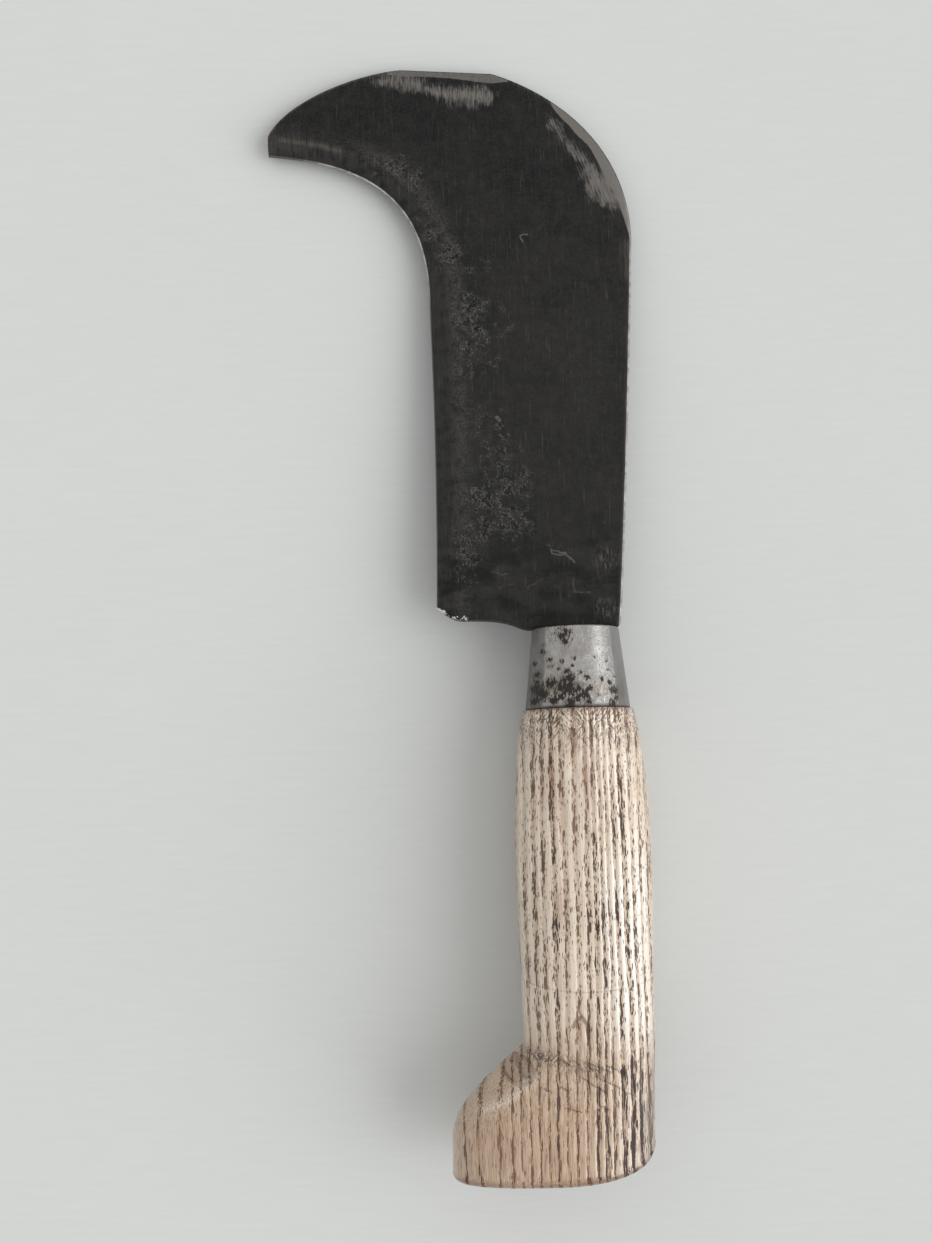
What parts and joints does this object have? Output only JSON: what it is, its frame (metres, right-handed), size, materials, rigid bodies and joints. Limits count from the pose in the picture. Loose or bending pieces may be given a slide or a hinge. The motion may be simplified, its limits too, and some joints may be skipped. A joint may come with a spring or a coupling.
{
  "type": "billhook",
  "caption": "Hand billhook with a straight edge sweeping into a blunt hooked nose, a through tang, a tapered ferrule and a hook-ended ash handle, for hedging and coppicing.",
  "frame": {"origin": "under the middle of the tool's box as it lies on its side", "axes": "+Y along the handle towards the blade, +X towards the blade's back, +Z square to the blade"},
  "size_m": [0.115, 0.346, 0.0346],
  "materials": {
    "blade_steel": "blackened forged steel, pitted, ground bright in patches along the crown",
    "ferrule_steel": "bright drawn steel with dark scale flakes",
    "ash": "bare straight-grained ash with dark open pores",
    "washer_iron": "dark rusted iron"
  },
  "bodies": {
    "root": {"blade": "blade_steel", "ferrule": "ferrule_steel", "handle": "ash", "tang_washer": "washer_iron"}
  },
  "joints": []
}
